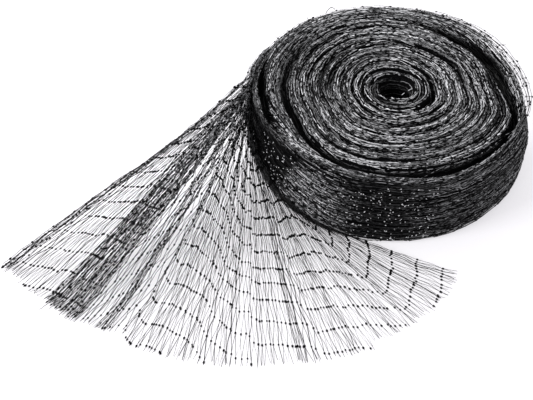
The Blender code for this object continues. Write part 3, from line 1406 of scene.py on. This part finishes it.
@dataclass
class SpreadNet:
    """The loose end: the net's last turn leaves the wall at the neck and fans out on the floor.

    The net has one zigzag thread between each two neighbouring half columns of its knots, so rows of
    knots half a column apart hold it together, and the bars lie nearly side by side.
    """

    shape: RollShape
    strand: StrandFinish
    # The strands: thickness, painted highlight and painted shade, and how far they stray between knots
    strand_radius: float = 0.15 * MM
    knot_girth: float = 1.25
    knot_girth_reach: float = 0.02
    plain_girth: float = 0.95
    girth_spread: float = 0.35
    girth_limits: Span = (0.5, 2.2)
    # Painted highlight: each thread's random share, and how it fades away from the roll
    painted_highlight: Span = (0.9, 1.4)
    painted_highlight_reach: float = 1.25
    painted_highlight_least: float = 0.15
    # Painted shade on the threads past this angle
    neck_shade: float = 0.25
    neck_shade_from: float = 243.0
    plain_bow: float = 0.3 * MM
    neck_slack: float = 3.0
    fold_slack: float = 1.0
    slack_reach: float = 0.4
    plain_rise: float = 0.45 * MM
    rise_share: float = 0.4
    rise_reach: float = 2.2
    # The mesh: its bars, how it was cut, and how slack it lies
    bar: float = 20 * MM
    knot_share: float = 0.06
    rows: int = 17
    cut_rows: int = 6
    fray: Span = (-1.0 * MM, 3.0 * MM)
    fray_least: float = 1.5
    first_knot: float = 0.5 * MM
    last_knot: float = 2.3
    knot_wander: float = 0.35 * MM
    angle_wander: float = 0.16
    slack_from: float = 50 * MM
    slack_over: float = 30 * MM
    # The crumpled band of folded layers at the left
    tangle_angles: Span = (222.0, 246.0)
    tangle: float = 1.6 * MM
    tangle_middle: float = 0.55
    tangle_reach: float = 0.45
    tangle_girth: float = 1.4
    tangle_slip: float = 5.95 * MM
    widening: float = 12.0
    widening_middle: float = 0.45
    widened_to: float = 1.1
    layer_lift: float = 0.9 * MM
    layer_ease: float = 1.5
    lift_reach: float = 0.5
    folded_from: float = 0.2
    # The way from the wall down to the floor
    neck_angle: float = 180.0
    clearance: float = 1.0 * MM
    neck_spread: float = 1.8 * MM
    swell_reach: float = 0.9
    lead: float = 45 * MM
    lead_sink: float = 2.2 * MM
    sag_power: float = 1.05
    rest_height: float = 0.85 * MM
    # The lifted border at the neck, and the gathered ridges
    flick: float = 0.065
    flick_reach: float = 0.3
    flick_to: float = 218.5
    flick_over: float = 2.0
    pleat_core: float = 0.6
    pleat_rise: float = 0.3
    pleat_fall: float = 0.4
    seed: int = 5

    def __post_init__(self) -> None:
        """Lay out the half columns of knots across the net's width."""
        self.random = np.random.default_rng(self.seed)
        first = FOLDS[0]
        angles, layers, slips = [[first.angle]], [[first.layer]], [[first.slip]]
        for before, after in zip(FOLDS, FOLDS[1:]):
            count = max(1, round(2 * abs(after.angle - before.angle) / after.pitch))
            share = np.arange(1, count + 1) / count
            angles.append(before.angle + (after.angle - before.angle) * share)
            step = after.layer - before.layer
            layers.append(before.layer + step * ease(share * self.layer_ease))
            slips.append(before.slip + (after.slip - before.slip) * share)
        self.angle = np.concatenate(angles)
        self.lift = np.concatenate(layers) * self.layer_lift
        self.inset = read_table(ROWS, "inset", self.angle) * self.shape.radius
        self.inset += np.concatenate(slips) * self.bar
        self.angle = self.angle + self.random.normal(0, self.angle_wander, len(self.angle))
        self.columns = np.arange(len(self.angle))
        self.depth = self.neck_spread * np.abs(self.smoothed(9))
        tangled = (self.angle > self.tangle_angles[0]) & (self.angle < self.tangle_angles[1])
        self.offset = self.tangle * tangled * self.random.normal(0, 1, len(self.angle))
        low, high = self.tangle_angles
        across = (self.angle - low) / (high - low) - self.widening_middle
        self.opening = np.radians(self.widening) * tangled * (self.lift > 0) * across
        self.inset += self.tangle_slip * tangled * (self.lift > 0) * self.smoothed(3)

    def smoothed(self, window: int) -> Array:
        """Random values over the half columns, alike within a window of them."""
        noise = self.random.normal(0, 1, len(self.columns) + window - 1)
        return np.convolve(noise, np.ones(window) / 3, "valid")

    def column(self, values: Array, place: Array) -> Array:
        """Values of the half columns read between them."""
        return np.interp(place, self.columns, values)

    def packed(self, length: Array, place: Array) -> Array:
        """Turn a length of stretched net into the distance that it covers.

        Args:
            length: lengths from the cut edge towards the roll.
            place: half columns, also between two.

        Returns:
            Distances from the cut edge.
        """
        angle = self.column(self.angle, place)
        over = np.maximum(length - self.slack_from, 0)
        slack = read_table(BARS, "slack", angle) * over**2 / (over + self.slack_over)
        return read_table(BARS, "share", angle) * (length - slack)

    def points(self, place: Array, inward: Array) -> tuple[Array, Array]:
        """Places on the spread net.

        Args:
            place: half columns, also between two.
            inward: distances from the cut edge towards the roll, along the net.

        Returns:
            Places, with X, Y and Z last, and their distances from the neck.
        """
        shape = self.shape
        angle = self.column(self.angle, place)
        wall = shape.radius + self.clearance
        reach = read_table(EDGE, "reach", angle) * shape.radius
        neck = read_table(SLOPES, "neck", angle) * shape.radius
        landing = read_table(SLOPES, "landing", angle) * shape.radius
        cosine, sine = turned(angle)
        end_x, end_y = -wall + reach * cosine, reach * sine
        distance = np.hypot(end_x, end_y)
        end_angle = np.degrees(np.arctan2(end_y, end_x)) % 360
        touch = end_angle - np.degrees(np.arccos(np.clip(wall / distance, -1, 1)))
        touch = np.maximum(touch, self.neck_angle)
        hug = np.radians(touch - self.neck_angle) * wall
        touch_x, touch_y = (wall * part for part in turned(touch))
        free = np.hypot(end_x - touch_x, end_y - touch_y)
        travel = hug + free - inward
        round_wall = np.minimum(travel, hug)
        behind = np.clip(-travel / self.lead, 0, 1)
        near_neck = np.clip(1 - np.abs(travel) / (self.swell_reach * shape.radius), 0, 1)
        swell = self.column(self.depth, place) * near_neck
        around = turned(self.neck_angle + np.degrees(round_wall / wall))
        ring = wall + swell - behind * (swell + self.lead_sink)
        beyond = np.maximum(travel - hug, 0) / free
        middle = (travel / shape.radius - self.tangle_middle) / self.tangle_reach
        wide = travel * np.exp(-((travel / (self.widened_to * shape.radius)) ** 2))
        aside = self.column(self.offset, place) * np.exp(-(middle**2))
        aside = (aside + self.column(self.opening, place) * wide) * (beyond > 0)
        x = shape.axis[0] + ring * around[0] + beyond * (end_x - touch_x) - aside * sine
        y = shape.axis[1] + ring * around[1] + beyond * (end_y - touch_y) + aside * cosine
        fall = np.clip(1 - travel / landing, 0, 1)
        height = neck * fall**self.sag_power
        flick = ease((self.flick_to - angle) / self.flick_over) * self.flick * shape.radius
        height = height + flick * np.exp(-((travel / (self.flick_reach * shape.radius)) ** 2))
        height = height + self.pleat_height(angle, travel) * (1 - behind)
        landed = ease(travel / (self.lift_reach * shape.radius))
        height = height + self.column(self.lift, place) * landed
        return np.stack([x, y, height + self.rest_height], axis=-1), travel

    def pleat_height(self, angle: Array, travel: Array) -> Array:
        """Lift of the net over its gathered ridges.

        Args:
            angle: angles about the neck.
            travel: distances from the neck.

        Returns:
            Heights in metres.
        """
        total = 0 * angle
        run = travel / self.shape.radius
        for pleat in PLEATS:
            side = np.exp(-(((angle - pleat.angle) / (self.pleat_core * pleat.width)) ** 2))
            reach = ease((run - pleat.start) / self.pleat_rise)
            reach = reach * ease((pleat.end - run) / self.pleat_fall)
            total = total + pleat.height * MM * side * reach
        return total

    def thread_rows(self) -> Array:
        """Find which rows of knots each thread's points lie at or between, from its frayed end on.

        Returns:
            Rows counted from the first uncut one, shaped (thread, point).
        """
        bar, knot, inset = self.bar, self.knot_share, self.inset
        first = np.ceil(-np.maximum(inset[:-1], inset[1:])[:, None] / bar)
        steps = np.array([-knot, 0, knot, 0.5])
        offsets = (np.arange(self.rows)[:, None] + steps).ravel()[2:]
        start = self.random.uniform(*self.fray, first.shape)
        middle = 0.5 * (inset[:-1] + inset[1:])[:, None]
        end = np.minimum((start - middle) / bar, first - knot * self.fray_least)
        return np.concatenate([end, first - knot, first + offsets], axis=1)

    def knots(self, wander: Array) -> tuple[Array, Array]:
        """Lay out the knots.

        Args:
            wander: how far each knot has slipped, by half column and row.

        Returns:
            Their places, and the directions in which they lie.
        """
        levels = np.arange(-self.cut_rows, self.rows + self.cut_rows)
        column, level = np.meshgrid(self.columns, levels, indexing="ij")
        depth = self.inset[:, None] + level * self.bar
        depth = np.where(depth > 0, self.packed(depth, column), depth)
        held = ((column + level) % 2 == 0) & (depth > self.first_knot)
        held &= depth < self.last_knot * self.shape.radius
        column, level, depth = column[held], level[held], depth[held]
        depth = depth + wander[column, level + self.cut_rows]
        places, travel = self.points(column.astype(float), depth)
        ahead, _ = self.points(column.astype(float), depth + MM)
        seen = travel > -self.lead
        return places[seen], (ahead - places)[seen]

    def make(self) -> bpy.types.Object:
        """Build the threads and knots.

        Returns:
            The piece.
        """
        random, knot = self.random, self.knot_share
        threads = self.columns[:-1][:, None]
        row = self.thread_rows()
        below = np.floor(row)
        share = np.clip((row - below - knot) / (1 - 2 * knot), 0, 1)
        near, far = (threads + (threads + below + side) % 2 for side in (0, 1))
        place = near + (far - near) * share
        inward = self.packed(self.column(self.inset, place) + row * self.bar, place)
        last = self.rows + 2 * self.cut_rows
        wander = random.normal(0, self.knot_wander, (len(self.columns), last + 2))
        index = np.clip(below.astype(int) + self.cut_rows, 0, last)
        shift = wander[near.astype(int), index] * (1 - share)
        shift += wander[far.astype(int), index + 1] * share
        points, travel = self.points(place, inward + shift)
        free = np.clip(1 - inward / (self.rise_reach * self.shape.radius), 0, 1)
        between = np.sin(np.pi * share)
        near_neck = np.exp(-np.abs(travel) / (self.slack_reach * self.shape.radius))
        folded = self.column(self.lift, place) / self.layer_lift
        slack = 1 + self.neck_slack * near_neck + self.fold_slack * folded
        bow = random.normal(0, self.plain_bow, row.shape) * between * slack
        cosine, sine = turned(self.column(self.angle, place) + 90)
        points[..., 0] += bow * cosine
        points[..., 1] += bow * sine
        rise = np.abs(random.normal(0, self.plain_rise, row.shape))
        points[..., 2] += rise * between * (self.rise_share + free)
        at_knot = np.abs(row - np.round(row)) < self.knot_girth_reach
        girth = np.where(at_knot, self.knot_girth, self.plain_girth)
        thick = np.exp(random.normal(0, self.girth_spread, (len(threads), 1)))
        folds = self.column(self.lift, threads) / self.layer_lift
        girth = girth * np.clip(thick, *self.girth_limits)
        girth *= np.where(folds > self.folded_from, self.tangle_girth, 1)
        bundle = StrandBundle()
        # Painted highlight, brighter near the roll, and painted shade on the threads past the shaded
        # angle
        near_roll = np.clip(self.painted_highlight_reach - travel / self.shape.radius, self.painted_highlight_least, 1)
        shaded = self.column(self.angle, threads) > self.neck_shade_from
        tones = random.beta(*self.painted_highlight, (len(threads), 1)) * near_roll
        tones *= np.where(shaded, self.neck_shade, 1)
        for path, width, tone, run in zip(points, girth, tones, travel):
            seen = run > -self.lead
            bundle.add_path(path[seen], width[seen], tone[seen])
        bundle.add_knots(*self.knots(wander))
        piece = bundle.guide("spread_net_strands")
        StrandTree(self.strand.material(), strand_radius=self.strand_radius).apply(piece)
        return piece


@dataclass
class Studio:
    """White table and backdrop, soft light, and the camera."""

    shape: RollShape
    lens: float = 87.8
    film_width: float = 36.0
    elevation: float = 43.078
    aim: Span = (-0.901, -0.525)
    distance: float = 9.585
    world_strength: float = 1.0
    key_energy: float = 7.0
    side_energy: float = 9.0
    key_place: tuple[float, float, float] = (-0.45, 0.75, 1.0)
    side_place: tuple[float, float, float] = (-0.9, -0.5, 0.6)
    light_size: float = 0.4
    aim_height: float = 30 * MM
    table_half: float = 6.0

    def build(self) -> None:
        """Add the floor, the lights and the camera."""
        self.add_floor()
        self.add_light("key", self.key_place, self.key_energy)
        self.add_light("side", self.side_place, self.side_energy)
        self.add_camera()
        world = bpy.data.worlds.new("studio")
        world.use_nodes = True
        backdrop = world.node_tree.nodes["Background"].inputs
        backdrop["Color"].default_value = hex_to_linear("#ffffff")
        backdrop["Strength"].default_value = self.world_strength
        bpy.context.scene.world = world
        bpy.context.scene.view_settings.view_transform = "Standard"

    def add_floor(self) -> None:
        """Lay the white table top."""
        mesh = bpy.data.meshes.new("table_top")
        half = self.table_half
        corners = [(-half, -half, 0), (half, -half, 0), (half, half, 0), (-half, half, 0)]
        mesh.from_pydata(corners, [], [(0, 1, 2, 3)])
        mesh.materials.append(StageFinish().material())
        add_object("table_top", mesh)

    def add_light(self, name: str, place: tuple[float, float, float], energy: float) -> None:
        """Hang a square soft box that faces the roll.

        Args:
            name: the light's name.
            place: its place from the roll's axis, in metres.
            energy: its power in watts.
        """
        data = bpy.data.lights.new(name, "AREA")
        data.energy = energy
        data.size = self.light_size
        light = add_object(name, data)
        light.location = Vector(place) + Vector((*self.shape.axis, 0.0))
        facing = Vector(place) - Vector((0, 0, self.aim_height))
        light.rotation_euler = facing.to_track_quat("Z", "Y").to_euler()

    def add_camera(self) -> None:
        """Set the camera where the photograph was taken."""
        radius = self.shape.radius
        sine, cosine = np.sin(np.radians(self.elevation)), np.cos(np.radians(self.elevation))
        back = Vector((0.0, -cosine, sine))
        aim = Vector((*(self.shape.axis + radius * np.array(self.aim)), 0.0))
        data = bpy.data.cameras.new("camera")
        data.sensor_fit = "HORIZONTAL"
        data.sensor_width = self.film_width
        data.lens = self.lens
        camera = add_object("camera", data)
        camera.location = aim + back * self.distance * radius
        camera.rotation_euler = back.to_track_quat("Z", "Y").to_euler()
        bpy.context.scene.camera = camera


def wear(piece: bpy.types.Object, node: Node, slot: Slot) -> None:
    """Tie a piece to its body, and hide the CAD node that it stands for.

    Args:
        piece: the finished piece.
        node: the CAD node that it stands for.
        slot: the record's slot. Not used.
    """
    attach(piece, ROOT_BODY)
    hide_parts(node.value)
    LOG.info("%s: %d faces", piece.name, len(piece.data.polygons))


def main() -> None:
    """Build the roll, the spread net and the studio."""
    logging.basicConfig(level=logging.INFO, format="%(name)s %(message)s")
    low, high = (np.array(corner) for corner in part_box(Node.ROLL.value))
    back, left, front = read_table(RIM, "radius", np.array([90.0, 180.0, 270.0]), closed=True)
    radius = float(high[1] - low[1]) / (back + front)
    axis = low[:2] + radius * np.array([left, front])
    shape = RollShape(axis=axis, radius=radius, height=float(high[2]))
    wound = StrandFinish("wound_polypropylene")
    # The core's near-black finish is painted shade for the depth of the winding
    roll = WoundNet(shape, wound, CoreFinish("wound_depth_painted_shade"), StrandMaker())
    makers = (roll.make_core, roll.make_top, roll.make_wall, roll.make_inside, roll.make_border)
    for piece in [make() for make in makers]:
        wear(piece, Node.ROLL, Slot.WOUND)
    # The spread net's painted highlights are greyer than the roll's
    tail = SpreadNet(shape, StrandFinish("spread_polypropylene", painted_highlight="#bcbcc0")).make()
    wear(tail, Node.TAIL, Slot.SPREAD)
    Studio(shape).build()


if __name__ == "__main__":
    main()
